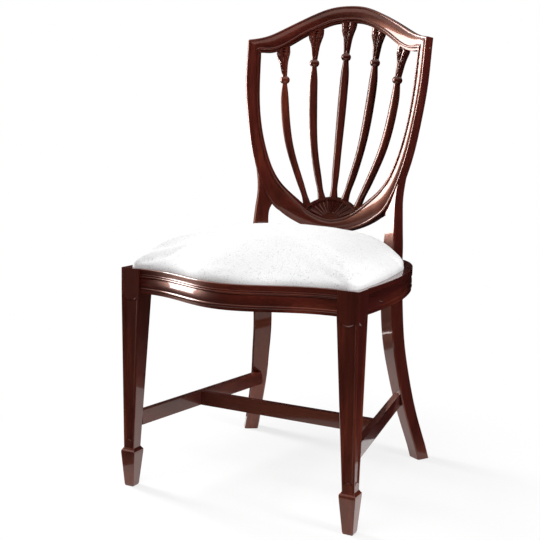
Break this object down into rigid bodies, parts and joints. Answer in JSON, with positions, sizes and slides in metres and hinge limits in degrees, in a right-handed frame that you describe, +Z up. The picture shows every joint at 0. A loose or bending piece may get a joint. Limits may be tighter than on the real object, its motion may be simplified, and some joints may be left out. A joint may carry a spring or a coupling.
{
  "type": "shield back dining chair",
  "caption": "Carved wooden shield-back dining chair with fluted splats, sunk-panel tapered front legs on spade feet, an H stretcher and an upholstered drop-in seat.",
  "frame": {"origin": "on the floor, under the middle of the chair's overall width and depth", "axes": "+Z up, the front of the chair faces -Y, +X to the right when the chair is seen from the front"},
  "size_m": [0.5012, 0.5594, 0.9647],
  "materials": {
    "mahogany": "deep red-brown, glossy French polish",
    "beech": "bare planed hidden wood",
    "screw_steel": "plain turned wood screws",
    "tack_steel": "blued cut tacks",
    "webbing": "coarse herringbone jute webbing",
    "hessian": "open plain weave",
    "padding": "matte felted stuffing",
    "cover_cloth": "off-white cloth with a fine fleck",
    "black_cotton": "thin matte lining"
  },
  "bodies": {
    "chair_frame": {"front_leg_left": "mahogany", "front_leg_right": "mahogany", "back_post_left": "mahogany", "back_post_right": "mahogany", "front_seat_rail": "mahogany", "side_seat_rail_left": "mahogany", "side_seat_rail_right": "mahogany", "rear_seat_rail": "mahogany", "side_stretcher_left": "mahogany", "side_stretcher_right": "mahogany", "cross_stretcher": "mahogany", "crest_rail": "mahogany", "shield_bottom_rail": "mahogany", "splat_outer_left": "mahogany", "splat_inner_left": "mahogany", "splat_centre": "mahogany", "splat_inner_right": "mahogany", "splat_outer_right": "mahogany", "lunette": "mahogany", "corner_block_front_left": "beech", "corner_block_front_right": "beech", "corner_block_rear_left": "beech", "corner_block_rear_right": "beech", "corner_block_screws": "screw_steel", "shield_dowels": "beech"},
    "drop_in_seat": {"seat_frame_front": "beech", "seat_frame_back": "beech", "seat_frame_left": "beech", "seat_frame_right": "beech", "seat_webbing": "webbing", "seat_hessian": "hessian", "seat_pad": "padding", "seat_cover": "cover_cloth", "dust_cover": "black_cotton", "cover_tacks": "tack_steel"}
  },
  "joints": [
    {"name": "seat_lift", "type": "slide", "parent": "chair_frame", "child": "drop_in_seat", "axis": [0, 0, 1], "range_m": [0, 0.02]}
  ]
}
